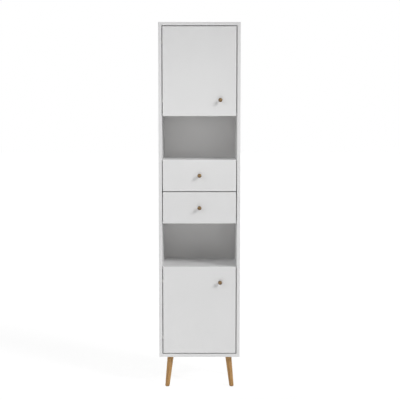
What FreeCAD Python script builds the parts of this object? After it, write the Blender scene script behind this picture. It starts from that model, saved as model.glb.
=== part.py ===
import FreeCAD, Part
import math
import os

Vector = FreeCAD.Vector

# A tall white cabinet on four splayed legs: a door at the top and at the bottom, two drawers in the middle
# and an open niche above and below the drawers. Millimetres, +X to the right, +Y to the back, +Z up.
# The origin is on the floor, under the middle of the whole cabinet, knobs included.

# Overall size.
cabinet_width = 400.0
carcass_depth = 300.0
carcass_height = 1650.0
leg_height = 160.0
board = 16.0

# Heights of the front, from the underside of the carcass upwards.
lower_niche_floor_height = 455.0
lower_niche_height = 215.0
drawer_bay_height = 314.0
upper_niche_height = 213.0

# Gaps around the inset fronts, the gap from the fittings on their backs to the shelf edges, softened edges.
front_gap = 4.0
fitting_gap = 0.5
edge_round = 0.8

# One overrun for all cuts, and the fits of pegs and screws in their holes.
cut_overrun = 1.0
peg_fit = 0.05
blind_gap = 0.5

# How near to a plane an edge has to lie to be picked for rounding.
pick_reach = 0.05

# Back panel in its groove.
back_thickness = 3.0
back_inset = 10.0
groove_depth = 6.0
groove_fit = 0.1

# Dowels, cam bolts and cam locks at both ends of each cross board.
dowel_diameter = 8.0
dowel_in_side = 12.0
dowel_in_board = 18.0
dowel_inset = 50.0
cam_inset = 110.0
cam_bolt_diameter = 6.0
cam_bolt_in_side = 10.0
cam_bolt_head_diameter = 7.0
cam_bolt_head_length = 3.0
cam_reach = 24.0
cam_diameter = 15.0
cam_height = 12.5
cam_slot_width = 2.0
cam_slot_depth = 1.2

# Wood screws of all the fittings.
screw_diameter = 3.5
screw_head_diameter = 7.0
screw_head_height = 2.0
screw_bite = 11.0

# Adjustable shelves and their pins.
shelf_side_gap = 1.0
shelf_front_inset = 40.0
shelf_back_gap = 2.0
shelf_pin_diameter = 5.0
shelf_pin_in_side = 10.0
shelf_pin_reach = 9.0
shelf_pin_inset_front = 80.0
shelf_pin_inset_rear = 60.0
shelf_pin_pitch = 64.0
shelf_pin_rows = (-1, 0, 1)
shelf_pin_seat_gap = 0.05

# Concealed hinges: a cranked arm on the side panel, a pin and an open-sided cup in the door.
hinge_end_share = 0.1725
hinge_pin_inset = 6.0
hinge_pin_depth = 6.0
hinge_pin_diameter = 2.5
hinge_pin_fit = 0.05
hinge_eye_wall = 0.8
hinge_running_gap = 0.4
hinge_arm_width = 10.0
hinge_arm_thickness = 2.0
hinge_arm_web_gap = 2.0
hinge_foot_width = 16.0
hinge_foot_length = 45.0
hinge_foot_screw_inset = 13.0
hinge_foot_screw_spacing = 20.0
cup_diameter = 26.0
cup_centre_inset = 10.0
cup_wall = 0.8
cup_floor = 0.6
cup_lug_thickness = 2.5
cup_lug_wall = 1.6
cup_edge_gap = 0.3
cup_flange_thickness = 1.0
cup_flange_width = 14.0
cup_flange_length = 46.0
cup_screw_spacing = 36.0
cup_screw_bite = 9.0

# Magnetic catches in the shelf edges and their strike plates on the doors.
catch_diameter = 10.0
catch_length = 13.0
catch_side_inset = 45.0
catch_gap = 0.3
strike_diameter = 16.0
strike_thickness = 1.0
strike_spike_diameter = 3.0
strike_spike_length = 8.0

# Turned knobs and the screws that hold them.
knob_diameter = 20.0
knob_base_diameter = 13.0
knob_base_thickness = 2.0
knob_neck_diameter = 8.0
knob_neck_length = 8.0
knob_flare_length = 5.0
knob_rim_length = 5.0
knob_dome_rise = 5.0
door_knob_side_inset = 78.0
door_knob_end_inset = 77.5
knob_screw_diameter = 4.0
knob_screw_bite = 12.0
knob_screw_head_diameter = 8.5
knob_screw_head_height = 2.4

# Drawer boxes and the rails that they slide on.
drawer_board = 12.0
drawer_back_gap = 21.0
drawer_under_gap = 6.0
drawer_over_gap = 7.5
drawer_side_gap = 2.0
drawer_bottom_thickness = 4.0
drawer_bottom_lift = 10.0
drawer_groove_depth = 5.0
rail_height = 17.0
rail_thickness = 8.5
rail_front_inset = 30.0
rail_back_gap = 17.0
rail_screw_inset = 30.0
rail_running_gap = 0.3
rail_stop_gap = 0.3
rail_face_gap = 0.5

# Legs, their plates, bolts and glides.
leg_side_inset = 55.0
leg_front_inset = 59.5
leg_splay = 16.5
leg_top_diameter = 31.5
leg_foot_diameter = 22.0
leg_foot_round = 1.0
leg_plate_size = 58.0
leg_plate_thickness = 3.0
leg_plate_round = 8.0
leg_plate_screw_inset = 10.0
leg_boss_diameter = 14.0
leg_boss_height = 9.0
leg_boss_room = 2.5
leg_bolt_diameter = 8.0
leg_bolt_in_leg = 36.0
glide_diameter = 17.0
glide_thickness = 2.5
glide_pin_diameter = 3.0
glide_pin_length = 9.0

# Wall bracket in the top of the upper cupboard.
bracket_width = 34.0
bracket_leg = 32.0
bracket_thickness = 2.0
bracket_screw_side = 9.0
bracket_screw_inset = 20.0
wall_hole_diameter = 6.0
wall_hole_drop = 19.0

# Planes and levels that follow from the sizes above.
knob_rim_start = knob_base_thickness + knob_neck_length + knob_flare_length
knob_projection = knob_rim_start + knob_rim_length + knob_dome_rise
x_inner = cabinet_width / 2 - board
y_front = (knob_projection - carcass_depth) / 2
y_rear = y_front + carcass_depth
y_fronts_back = y_front + board
y_shelf = y_fronts_back + cup_flange_thickness + screw_head_height + fitting_gap
y_back_panel = y_rear - back_inset - back_thickness
z_bottom = leg_height
z_top = z_bottom + carcass_height
z_lower_niche_floor = z_bottom + lower_niche_floor_height
z_lower_niche_top = z_lower_niche_floor + lower_niche_height
z_upper_niche_floor = z_lower_niche_top + drawer_bay_height
z_upper_niche_top = z_upper_niche_floor + upper_niche_height
x_front_edge = x_inner - front_gap
drawer_front_height = (drawer_bay_height - front_gap) / 2
drawer_box_lift = board + drawer_under_gap
drawer_box_height = drawer_front_height - drawer_box_lift - board - drawer_over_gap
z_drawers = {
    "lower": z_lower_niche_top,
    "upper": z_lower_niche_top + drawer_front_height + front_gap,
}
door_spans = {
    "lower": (z_bottom + board + front_gap, z_lower_niche_floor),
    "upper": (z_upper_niche_top, z_top - board - front_gap),
}
door_knob_heights = {
    "lower": z_lower_niche_floor - door_knob_end_inset,
    "upper": z_upper_niche_top + door_knob_end_inset,
}
cupboard_spans = {
    "lower": (z_bottom + board, z_lower_niche_floor - board),
    "upper": (z_upper_niche_top + board, z_top - board),
}

# Cross boards: name, underside, front edge, and whether the cam locks open upwards (+1) or downwards (-1).
cross_boards = (
    ("bottom_panel", z_bottom, y_front, 1),
    ("lower_niche_floor", z_lower_niche_floor - board, y_shelf, -1),
    ("lower_niche_ceiling", z_lower_niche_top, y_shelf, 1),
    ("upper_niche_floor", z_upper_niche_floor - board, y_shelf, -1),
    ("upper_cupboard_floor", z_upper_niche_top, y_shelf, 1),
    ("top_panel", z_top - board, y_front, -1),
)

SIDES = {"left": -1, "right": 1}
LEVELS = ("lower", "upper")
X_AXIS = Vector(1, 0, 0)
Y_AXIS = Vector(0, 1, 0)
Z_AXIS = Vector(0, 0, 1)


def box(x0, x1, y0, y1, z0, z1):
    """A block between two X, two Y and two Z planes, given in any order."""
    low = Vector(min(x0, x1), min(y0, y1), min(z0, z1))
    return Part.makeBox(abs(x1 - x0), abs(y1 - y0), abs(z1 - z0), low)


def rod(diameter, start, end, grow=0, extend=0):
    """A round bar between two points, made larger all round or longer at both ends on request."""
    along = (end - start).normalize()
    length = (end - start).Length + 2 * extend
    return Part.makeCylinder(diameter / 2 + grow, length, start - along * extend, along)


def hole(diameter, start, end):
    """The hole for a bar between two points."""
    return rod(diameter, start, end, peg_fit, blind_gap)


def drilled(shape, tools):
    """The one solid that is left when all the tools are cut from a shape."""
    return shape.cut(Part.makeCompound(tools)).Solids[0]


def soften_face(shape, axis, level):
    """Rounds the edges that lie in one plane square to an axis."""
    def on_plane(edge):
        return all(abs(corner.Point.dot(axis) - level) < pick_reach for corner in edge.Vertexes)
    return shape.makeFillet(edge_round, [edge for edge in shape.Edges if on_plane(edge)])


def save(name, *solids):
    """Writes one node, which holds one solid or a group of separate ones."""
    shape = solids[0] if len(solids) == 1 else Part.makeCompound(list(solids))
    shape.exportStep("parts/" + name + ".step")


def screw(seat, inward, length, diameter=screw_diameter, head=screw_head_diameter, height=screw_head_height):
    """A screw whose head sits on a seat point and whose shank runs inward from there."""
    shank = Part.makeCylinder(diameter / 2, length, seat, inward)
    cap = Part.makeCylinder(head / 2, height, seat - inward * height, inward)
    rim = [edge for edge in cap.Edges if abs((edge.CenterOfMass - seat).Length - height) < pick_reach]
    return shank.fuse(cap.makeFillet(height / 2, rim)).removeSplitter().Solids[0]


def screw_hole(seat, inward, length, diameter=screw_diameter):
    """The hole for such a screw, from a little before its seat to a little past its tip."""
    start = seat - inward * cut_overrun
    return Part.makeCylinder(diameter / 2 + peg_fit, length + cut_overrun + blind_gap, start, inward)


# Joints of the carcass.

def dowel_ends(z_low, side):
    """The two ends of each dowel at one end of a cross board."""
    z_mid = z_low + board / 2
    x_outer = side * (x_inner + dowel_in_side)
    x_end = side * (x_inner - dowel_in_board)
    for y in (y_front + dowel_inset, y_rear - dowel_inset):
        yield Vector(x_outer, y, z_mid), Vector(x_end, y, z_mid)


def cam_places(z_low, side):
    """Where each cam bolt starts in the side panel and where it ends, in the middle of its cam lock."""
    z_mid = z_low + board / 2
    x_outer = side * (x_inner + cam_bolt_in_side)
    x_end = side * (x_inner - cam_reach)
    for y in (y_front + cam_inset, y_rear - cam_inset):
        yield Vector(x_outer, y, z_mid), Vector(x_end, y, z_mid)


def cam_bolt(start, end):
    """A bolt with a wider head at its cam end."""
    toward_head = (end - start).normalize()
    head_start = end - toward_head * cam_bolt_head_length
    shank = rod(cam_bolt_diameter, start, end)
    return shank.fuse(rod(cam_bolt_head_diameter, head_start, end)).removeSplitter().Solids[0]


def cam_bolt_bore(start, end):
    """The bore that lets the bolt's head through to its cam."""
    return hole(cam_bolt_head_diameter, start, end)


def cam_blank(end, z_low, opens):
    """The round body of a cam lock, from the open face of its board inwards."""
    face = Vector(end.x, end.y, z_low + board if opens > 0 else z_low)
    return face, Part.makeCylinder(cam_diameter / 2, cam_height, face, Z_AXIS * -opens)


def cam_lock(start, end, z_low, opens):
    """A cam lock with the bore for its bolt and a screwdriver cross in its face."""
    face, blank = cam_blank(end, z_low, opens)
    reach = cam_diameter / 2 - cam_slot_width
    wide = cam_slot_width / 2
    slot_floor = face.z - opens * cam_slot_depth
    slot_mouth = face.z + opens * cut_overrun
    cross = [
        box(face.x - reach, face.x + reach, face.y - wide, face.y + wide, slot_floor, slot_mouth),
        box(face.x - wide, face.x + wide, face.y - reach, face.y + reach, slot_floor, slot_mouth),
    ]
    return drilled(blank, cross + [cam_bolt_bore(start, end)])


def cam_bore(end, z_low, opens):
    """The round pocket for a cam lock."""
    face = cam_blank(end, z_low, opens)[0]
    mouth = face + Z_AXIS * opens * cut_overrun
    depth = cam_height + blind_gap + cut_overrun
    return Part.makeCylinder(cam_diameter / 2 + peg_fit, depth, mouth, Z_AXIS * -opens)


# Fittings on the side panels, each with the points that its holes share.

def shelf_level(level):
    """The height of the middle row of pins in a cupboard."""
    low, high = cupboard_spans[level]
    return (low + high) / 2


def shelf_pin_ends(level, side, row):
    """The two ends of each pin in one row of holes on one side panel."""
    z = shelf_level(level) + row * shelf_pin_pitch
    x_outer = side * (x_inner + shelf_pin_in_side)
    x_end = side * (x_inner - shelf_pin_reach)
    for y in (y_front + shelf_pin_inset_front, y_back_panel - shelf_pin_inset_rear):
        yield Vector(x_outer, y, z), Vector(x_end, y, z)


def hinge_levels(level):
    """The heights of the two hinges of a door."""
    low, high = door_spans[level]
    from_end = (high - low) * hinge_end_share
    return low + from_end, high - from_end


x_hinge = -x_front_edge + hinge_pin_inset
y_hinge = y_front + hinge_pin_depth
y_hinge_web = y_shelf + hinge_arm_web_gap
hinge_eye_diameter = hinge_pin_diameter + 2 * (hinge_pin_fit + hinge_eye_wall)


def hinge_arm_screw_seats(z):
    """Where the heads of an arm's two screws sit."""
    for step in (0, hinge_foot_screw_spacing):
        yield Vector(-x_inner + hinge_arm_thickness, y_hinge_web + hinge_foot_screw_inset + step, z)


rail_span = (y_front + rail_front_inset, y_back_panel - rail_back_gap)


def rail_level(level):
    """The height of the middle of a drawer's rails."""
    return z_drawers[level] + drawer_box_lift + drawer_box_height / 2


def rail_screw_seats(level, side):
    """Where the heads of a rail's two screws sit, flush with the rail's face."""
    y_low, y_high = rail_span
    for y in (y_low + rail_screw_inset, y_high - rail_screw_inset):
        yield Vector(side * (x_inner - rail_thickness + screw_head_height), y, rail_level(level))


rail_screw_length = rail_thickness - screw_head_height + screw_bite
hinge_screw_length = hinge_arm_thickness + screw_bite


def side_panel(side):
    """A side board with its groove for the back panel and all the holes in its inner face."""
    blank = box(side * x_inner, side * cabinet_width / 2, y_front, y_rear, z_bottom, z_top)
    panel = soften_face(blank, Y_AXIS, y_front)
    tools = [back_groove_beside(side)]
    for name, z_low, y_edge, opens in cross_boards:
        tools += [hole(dowel_diameter, *ends) for ends in dowel_ends(z_low, side)]
        tools += [hole(cam_bolt_diameter, *ends) for ends in cam_places(z_low, side)]
    for level in LEVELS:
        for row in shelf_pin_rows:
            tools += [hole(shelf_pin_diameter, *ends) for ends in shelf_pin_ends(level, side, row)]
        for seat in rail_screw_seats(level, side):
            tools.append(screw_hole(seat, X_AXIS * side, rail_screw_length))
    if side == SIDES["left"]:
        for level in LEVELS:
            for z in hinge_levels(level):
                seats = hinge_arm_screw_seats(z)
                tools += [screw_hole(seat, X_AXIS * side, hinge_screw_length) for seat in seats]
    return drilled(panel, tools)


def back_groove_beside(side):
    """The groove for the back panel in a side board."""
    x_mouth = side * (x_inner - cut_overrun)
    x_floor = side * (x_inner + groove_depth)
    y_low = y_back_panel - groove_fit
    y_high = y_back_panel + back_thickness + groove_fit
    return box(x_mouth, x_floor, y_low, y_high, z_bottom + board - groove_depth, z_top - board + groove_depth)


def back_groove_across(z_face, outward):
    """The groove for the back panel in the top or bottom board, from its inner face outward."""
    y_low = y_back_panel - groove_fit
    y_high = y_back_panel + back_thickness + groove_fit
    x_end = x_inner + cut_overrun
    return box(-x_end, x_end, y_low, y_high, z_face - outward * cut_overrun, z_face + outward * groove_depth)


def cross_board(name, z_low, y_edge, opens):
    """A top, bottom or fixed shelf board with the bores for its dowels, bolts and cam locks."""
    full_depth = name in ("top_panel", "bottom_panel")
    y_end = y_rear if full_depth else y_back_panel - groove_fit
    blank = soften_face(box(-x_inner, x_inner, y_edge, y_end, z_low, z_low + board), Y_AXIS, y_edge)
    tools = []
    for side in SIDES.values():
        tools += [hole(dowel_diameter, *ends) for ends in dowel_ends(z_low, side)]
        for start, end in cam_places(z_low, side):
            tools += [cam_bolt_bore(start, end), cam_bore(end, z_low, opens)]
    if name == "top_panel":
        tools.append(back_groove_across(z_low, 1))
        tools += [screw_hole(seat, Z_AXIS, bracket_screw_length) for seat in bracket_screw_seats()]
    if name == "bottom_panel":
        tools.append(back_groove_across(z_low + board, -1))
        tools += leg_board_holes()
    if name == "lower_niche_floor":
        tools.append(hole(catch_diameter, *catch_ends("lower")))
    if name == "upper_cupboard_floor":
        tools.append(hole(catch_diameter, *catch_ends("upper")))
    return drilled(blank, tools)


def back_panel():
    """The thin back, which sits in grooves all round and has the hole for the wall screw."""
    reach = groove_depth - groove_fit
    x_end = x_inner + reach
    z_low = z_bottom + board - reach
    z_high = z_top - board + reach
    sheet = box(-x_end, x_end, y_back_panel, y_back_panel + back_thickness, z_low, z_high)
    return drilled(sheet, [wall_hole()])


def adjustable_shelf(level):
    """A loose shelf that lies on its four pins."""
    x_end = x_inner - shelf_side_gap
    z_low = shelf_level(level) + shelf_pin_diameter / 2 + shelf_pin_seat_gap
    y_low = y_front + shelf_front_inset
    plain = box(-x_end, x_end, y_low, y_back_panel - shelf_back_gap, z_low, z_low + board)
    return soften_face(plain, Y_AXIS, y_low)


def shelf_pins():
    """All eight pins that carry the two loose shelves."""
    pins = []
    for level in LEVELS:
        for side in SIDES.values():
            pins += [rod(shelf_pin_diameter, *ends) for ends in shelf_pin_ends(level, side, 0)]
    return pins


# Wall bracket.

bracket_screw_length = bracket_thickness + screw_bite


def wall_hole():
    """The hole for the wall screw, through the bracket and the back panel."""
    z = z_top - board - wall_hole_drop
    start = Vector(0, y_back_panel - bracket_thickness - cut_overrun, z)
    end = Vector(0, y_back_panel + back_thickness + cut_overrun, z)
    return rod(wall_hole_diameter, start, end)


def bracket_screw_seats():
    """Where the heads of the bracket's two screws sit, under its flat leg."""
    z = z_top - board - bracket_thickness
    for x in (-bracket_screw_side, bracket_screw_side):
        yield Vector(x, y_back_panel - bracket_screw_inset, z)


def wall_bracket():
    """An angle of sheet steel under the top board and against the back panel."""
    half = bracket_width / 2
    z_high = z_top - board
    flat = box(-half, half, y_back_panel - bracket_leg, y_back_panel, z_high - bracket_thickness, z_high)
    upright = box(-half, half, y_back_panel - bracket_thickness, y_back_panel, z_high - bracket_leg, z_high)
    angle = flat.fuse(upright).removeSplitter()
    tools = [wall_hole()]
    tools += [screw_hole(seat, Z_AXIS, bracket_screw_length) for seat in bracket_screw_seats()]
    return drilled(angle, tools)


# Hinges.

def hinge_arm(z):
    """A cranked arm: an eye round the pin, a neck back out of the cup, a web and a foot on the side panel."""
    half = hinge_arm_width / 2
    thick = hinge_arm_thickness
    x_neck = x_hinge - thick / 2
    eye = rod(hinge_eye_diameter, Vector(x_hinge, y_hinge, z - half), Vector(x_hinge, y_hinge, z + half))
    neck = box(x_neck, x_neck + thick, y_hinge, y_hinge_web + thick, z - half, z + half)
    web = box(-x_inner, x_neck + thick, y_hinge_web, y_hinge_web + thick, z - half, z + half)
    wide = hinge_foot_width / 2
    foot = box(-x_inner, -x_inner + thick, y_hinge_web, y_hinge_web + hinge_foot_length, z - wide, z + wide)
    arm = eye.multiFuse([neck, web, foot]).removeSplitter()
    tools = [hinge_pin_solid(z, hinge_pin_fit)]
    tools += [screw_hole(seat, X_AXIS * -1, hinge_screw_length) for seat in hinge_arm_screw_seats(z)]
    return drilled(arm, tools)


hinge_pin_half = hinge_arm_width / 2 + hinge_running_gap + cup_lug_thickness
z_axis_half = Z_AXIS * hinge_pin_half


def hinge_pin_solid(z, grow=0):
    """The pin of one hinge, or with room round it the bore that turns on it."""
    middle = Vector(x_hinge, y_hinge, z)
    return rod(hinge_pin_diameter, middle - z_axis_half, middle + z_axis_half, grow, grow)


x_cup = -x_front_edge + cup_centre_inset
y_cup_floor = y_hinge - hinge_eye_diameter / 2 - hinge_running_gap - cup_floor


def cup_bore(z, diameter, y_low, grow):
    """A round pocket in the back of a door, from a given depth out past the flange."""
    start = Vector(x_cup, y_low - grow, z)
    end = Vector(x_cup, y_fronts_back + cup_flange_thickness + cut_overrun, z)
    return rod(diameter, start, end, grow)


def cup_screw_seats(z):
    """Where the heads of a cup's two screws sit on its flange."""
    for step in (-cup_screw_spacing / 2, cup_screw_spacing / 2):
        yield Vector(x_cup, y_fronts_back + cup_flange_thickness, z + step)


def hinge_cup(z):
    """A pressed cup, open at the back and at the edge of the door, with two lugs for the pin and a flange."""
    shell = rod(cup_diameter, Vector(x_cup, y_cup_floor, z), Vector(x_cup, y_fronts_back, z))
    half_wide = cup_flange_width / 2
    half_long = cup_flange_length / 2
    y_flange = y_fronts_back + cup_flange_thickness
    flange = box(x_cup - half_wide, x_cup + half_wide, y_fronts_back, y_flange, z - half_long, z + half_long)
    hollow = cup_bore(z, cup_diameter - 2 * cup_wall, y_cup_floor + cup_floor, 0)
    x_open = -x_front_edge + cup_edge_gap
    edge_side = box(x_cup - cup_diameter, x_open, y_front, y_flange + cut_overrun,
                    z - half_long, z + half_long)
    cup = shell.fuse(flange).cut(hollow).cut(edge_side)
    lug_reach = hinge_pin_diameter / 2 + cup_lug_wall
    for way in (-1, 1):
        z_near = z + way * (hinge_arm_width / 2 + hinge_running_gap)
        lug = box(x_hinge - lug_reach, x_hinge + lug_reach, y_cup_floor, y_hinge + lug_reach,
                  z_near, z_near + way * cup_lug_thickness)
        cup = cup.fuse(lug.common(shell))
    tools = [hinge_pin_solid(z, peg_fit)]
    tools += [screw_hole(seat, Y_AXIS * -1, cup_screw_length) for seat in cup_screw_seats(z)]
    return drilled(cup.removeSplitter(), tools)


cup_screw_length = cup_flange_thickness + cup_screw_bite


# Magnetic catches.

def catch_middle(level):
    """The point where a catch's axis meets the front edge of its shelf."""
    z_shelf = z_lower_niche_floor - board if level == "lower" else z_upper_niche_top
    return Vector(x_inner - catch_side_inset, y_shelf, z_shelf + board / 2)


def catch_ends(level):
    """The face and the inner end of a catch."""
    middle = catch_middle(level)
    y_face = y_fronts_back + strike_thickness + catch_gap
    return Vector(middle.x, y_face, middle.z), Vector(middle.x, y_face + catch_length, middle.z)


def strike_spike_ends(level):
    """The two ends of the spike that holds a strike plate in its door."""
    middle = catch_middle(level)
    y_tip = y_fronts_back - strike_spike_length
    return Vector(middle.x, y_fronts_back, middle.z), Vector(middle.x, y_tip, middle.z)


def strike_plate(level):
    """A round steel plate with a spike, on the back of a door."""
    back, tip = strike_spike_ends(level)
    disc = rod(strike_diameter, back, back + Y_AXIS * strike_thickness)
    return disc.fuse(rod(strike_spike_diameter, back, tip)).removeSplitter().Solids[0]


# Fronts, knobs and their screws.

def door_knob_point(level):
    """The point on a door's face where its knob sits."""
    return Vector(x_front_edge - door_knob_side_inset, y_front, door_knob_heights[level])


def drawer_knob_point(level):
    """The point in the middle of a drawer front where its knob sits."""
    return Vector(0, y_front, z_drawers[level] + drawer_front_height / 2)


knob_screw_length = board + knob_screw_bite


def knob_screw(point):
    """The screw that holds a knob from behind the front."""
    seat = point + Y_AXIS * board
    return screw(seat, Y_AXIS * -1, knob_screw_length, knob_screw_diameter,
                 knob_screw_head_diameter, knob_screw_head_height)


def knob_screw_hole(point):
    """The hole for that screw, through the front and into the knob."""
    return screw_hole(point + Y_AXIS * board, Y_AXIS * -1, knob_screw_length, knob_screw_diameter)


def knob(point):
    """A turned knob: a flat base, a slim neck that flares to the rim, and a domed face."""
    base = knob_base_diameter / 2
    neck = knob_neck_diameter / 2
    rim = knob_diameter / 2
    neck_end = knob_base_thickness + knob_neck_length
    rim_end = knob_rim_start + knob_rim_length
    dome_radius = (rim ** 2 + knob_dome_rise ** 2) / (2 * knob_dome_rise)
    dome_centre = knob_projection - dome_radius
    dome_mid = dome_centre + math.sqrt(dome_radius ** 2 - (rim / 2) ** 2)

    def at(radius, out):
        return point + Vector(radius, -out, 0)

    edges = [
        Part.makeLine(at(0, 0), at(base, 0)),
        Part.makeLine(at(base, 0), at(base, knob_base_thickness)),
        Part.makeLine(at(base, knob_base_thickness), at(neck, knob_base_thickness)),
        Part.makeLine(at(neck, knob_base_thickness), at(neck, neck_end)),
        Part.makeLine(at(neck, neck_end), at(rim, knob_rim_start)),
        Part.makeLine(at(rim, knob_rim_start), at(rim, rim_end)),
        Part.Arc(at(rim, rim_end), at(rim / 2, dome_mid), at(0, knob_projection)).toShape(),
        Part.makeLine(at(0, knob_projection), at(0, 0)),
    ]
    turned = Part.Face(Part.Wire(edges)).revolve(point, Y_AXIS, 360)
    return drilled(turned, [knob_screw_hole(point)])


def door(level):
    """An inset door with the pockets for its hinges and the holes for its knob and strike plate."""
    z_low, z_high = door_spans[level]
    blank = box(-x_front_edge, x_front_edge, y_front, y_fronts_back, z_low, z_high)
    panel = soften_face(blank, Y_AXIS, y_front)
    tools = [knob_screw_hole(door_knob_point(level)), hole(strike_spike_diameter, *strike_spike_ends(level))]
    for z in hinge_levels(level):
        tools.append(cup_bore(z, cup_diameter, y_cup_floor, peg_fit))
        tools += [screw_hole(seat, Y_AXIS * -1, cup_screw_length) for seat in cup_screw_seats(z)]
    return drilled(panel, tools)


# Drawers.

x_box = x_inner - drawer_side_gap
x_box_inner = x_box - drawer_board
y_box_end = y_back_panel - drawer_back_gap


def drawer_bottom_span(level):
    """The underside and the upper side of a drawer's bottom."""
    z_low = z_drawers[level] + drawer_box_lift + drawer_bottom_lift
    return z_low, z_low + drawer_bottom_thickness


def drawer_bottom(level, grow=0):
    """A drawer's thin bottom, held in grooves in the front and sides and under the back."""
    reach = drawer_groove_depth - groove_fit + grow
    z_low, z_high = drawer_bottom_span(level)
    x_end = x_box_inner + reach
    return box(-x_end, x_end, y_fronts_back - reach, y_box_end + grow, z_low - grow, z_high + grow)


def drawer_front(level):
    """A drawer's inset front with the groove for its bottom and the hole for its knob."""
    z_low = z_drawers[level]
    blank = box(-x_front_edge, x_front_edge, y_front, y_fronts_back, z_low, z_low + drawer_front_height)
    panel = soften_face(blank, Y_AXIS, y_front)
    return drilled(panel, [knob_screw_hole(drawer_knob_point(level)), drawer_bottom(level, groove_fit)])


def drawer_side(level, side):
    """A drawer's side with a groove for the bottom and one for its rail, whose closed end is the stop."""
    z_low = z_drawers[level] + drawer_box_lift
    plank = box(side * x_box_inner, side * x_box, y_fronts_back, y_box_end, z_low, z_low + drawer_box_height)
    half = rail_height / 2 + rail_running_gap
    x_floor = side * (x_inner - rail_thickness - rail_face_gap)
    x_mouth = side * (x_box + cut_overrun)
    y_stop = rail_span[0] - rail_stop_gap
    track = box(x_floor, x_mouth, y_stop, y_box_end + cut_overrun,
                rail_level(level) - half, rail_level(level) + half)
    return drilled(plank, [track, drawer_bottom(level, groove_fit)])


def drawer_back(level):
    """A drawer's back, between the sides and on top of the bottom."""
    z_low = drawer_bottom_span(level)[1]
    z_high = z_drawers[level] + drawer_box_lift + drawer_box_height
    return box(-x_box_inner, x_box_inner, y_box_end - drawer_board, y_box_end, z_low, z_high)


def drawer_rail(level, side):
    """A plastic rail on a side panel, with sunk screw heads."""
    half = rail_height / 2
    bar = box(side * x_inner, side * (x_inner - rail_thickness), *rail_span,
              rail_level(level) - half, rail_level(level) + half)
    tools = []
    outward = X_AXIS * side
    for seat in rail_screw_seats(level, side):
        head_mouth = seat - outward * (screw_head_height + cut_overrun)
        tools.append(screw_hole(seat, outward, rail_screw_length))
        tools.append(rod(screw_head_diameter, seat, head_mouth, peg_fit))
    return drilled(bar, tools)


# Legs.

leg_places = {
    "front_left": (-1, -1),
    "front_right": (1, -1),
    "rear_left": (-1, 1),
    "rear_right": (1, 1),
}
y_legs = carcass_depth / 2 - leg_front_inset
y_carcass_middle = (y_front + y_rear) / 2
z_leg_top = z_bottom - leg_plate_thickness


def leg_axis(side, end):
    """The foot point, the top point and the direction of a splayed leg."""
    top = Vector(side * (cabinet_width / 2 - leg_side_inset), y_carcass_middle + end * y_legs, z_leg_top)
    foot = Vector(top.x + side * leg_splay, top.y + end * leg_splay, glide_thickness)
    return foot, top, (top - foot).normalize()


def leg_bolt_ends(side, end):
    """The two ends of a leg's bolt, in the leg and in the boss of its plate."""
    foot, top, up = leg_axis(side, end)
    return top - up * leg_bolt_in_leg, top + up * (leg_plate_thickness + leg_boss_height)


def leg(side, end):
    """A round tapered leg, cut level at the top and at the foot."""
    foot, top, up = leg_axis(side, end)
    length = (top - foot).Length
    spare = leg_top_diameter
    taper = (leg_top_diameter - leg_foot_diameter) / 2 / length
    r_low = leg_foot_diameter / 2 - taper * spare
    r_high = leg_top_diameter / 2 + taper * spare
    cone = Part.makeCone(r_low, r_high, length + 2 * spare, foot - up * spare, up)
    room = box(foot.x - spare * 2, foot.x + spare * 2, foot.y - spare * 2, foot.y + spare * 2, foot.z, top.z)
    cut = cone.common(room).Solids[0]
    rim = [edge for edge in cut.Edges if abs(edge.CenterOfMass.z - foot.z) < pick_reach]
    cut = cut.makeFillet(leg_foot_round, rim)
    bolt_hole = hole(leg_bolt_diameter, *leg_bolt_ends(side, end))
    pin_hole = hole(glide_pin_diameter, *glide_pin_ends(side, end))
    return drilled(cut, [bolt_hole, pin_hole])


def leg_plate_screw_seats(side, end):
    """Where the heads of a plate's four screws sit, under its corners."""
    top = leg_axis(side, end)[1]
    out = leg_plate_size / 2 - leg_plate_screw_inset
    for across in (-out, out):
        for along in (-out, out):
            yield Vector(top.x + across, top.y + along, z_leg_top)


leg_screw_length = leg_plate_thickness + screw_bite


def leg_plate(side, end):
    """A square steel plate with rounded corners and a slanted boss that takes the leg's bolt."""
    top = leg_axis(side, end)[1]
    half = leg_plate_size / 2
    sheet = box(top.x - half, top.x + half, top.y - half, top.y + half, z_leg_top, z_bottom)
    upright = [edge for edge in sheet.Edges if abs(edge.BoundBox.ZLength - leg_plate_thickness) < pick_reach]
    sheet = sheet.makeFillet(leg_plate_round, upright)
    start, tip = leg_bolt_ends(side, end)
    room = box(top.x - half, top.x + half, top.y - half, top.y + half, z_leg_top, z_bottom + leg_boss_height)
    boss = rod(leg_boss_diameter, start, tip, 0, leg_boss_height).common(room)
    plate = sheet.fuse(boss).removeSplitter()
    tools = [rod(leg_bolt_diameter, start, tip, peg_fit, leg_boss_height)]
    tools += [screw_hole(seat, Z_AXIS, leg_screw_length) for seat in leg_plate_screw_seats(side, end)]
    return drilled(plate, tools)


def leg_board_holes():
    """The pockets for the bosses and the holes for the plate screws in the bottom board."""
    tools = []
    for side, end in leg_places.values():
        middle = (leg_axis(side, end)[1] + leg_bolt_ends(side, end)[1]) / 2
        mouth = Vector(middle.x, middle.y, z_bottom - cut_overrun)
        floor = Vector(middle.x, middle.y, z_bottom + leg_boss_height + blind_gap)
        tools.append(rod(leg_boss_diameter, mouth, floor, leg_boss_room))
        tools += [screw_hole(seat, Z_AXIS, leg_screw_length) for seat in leg_plate_screw_seats(side, end)]
    return tools


def leg_bolt(side, end):
    """The bolt that joins a leg to its plate."""
    return rod(leg_bolt_diameter, *leg_bolt_ends(side, end))


def glide_pin_ends(side, end):
    """The two ends of the pin of a glide, upright in the foot."""
    foot = leg_axis(side, end)[0]
    return Vector(foot.x, foot.y, 0), Vector(foot.x, foot.y, glide_thickness + glide_pin_length)


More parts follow.
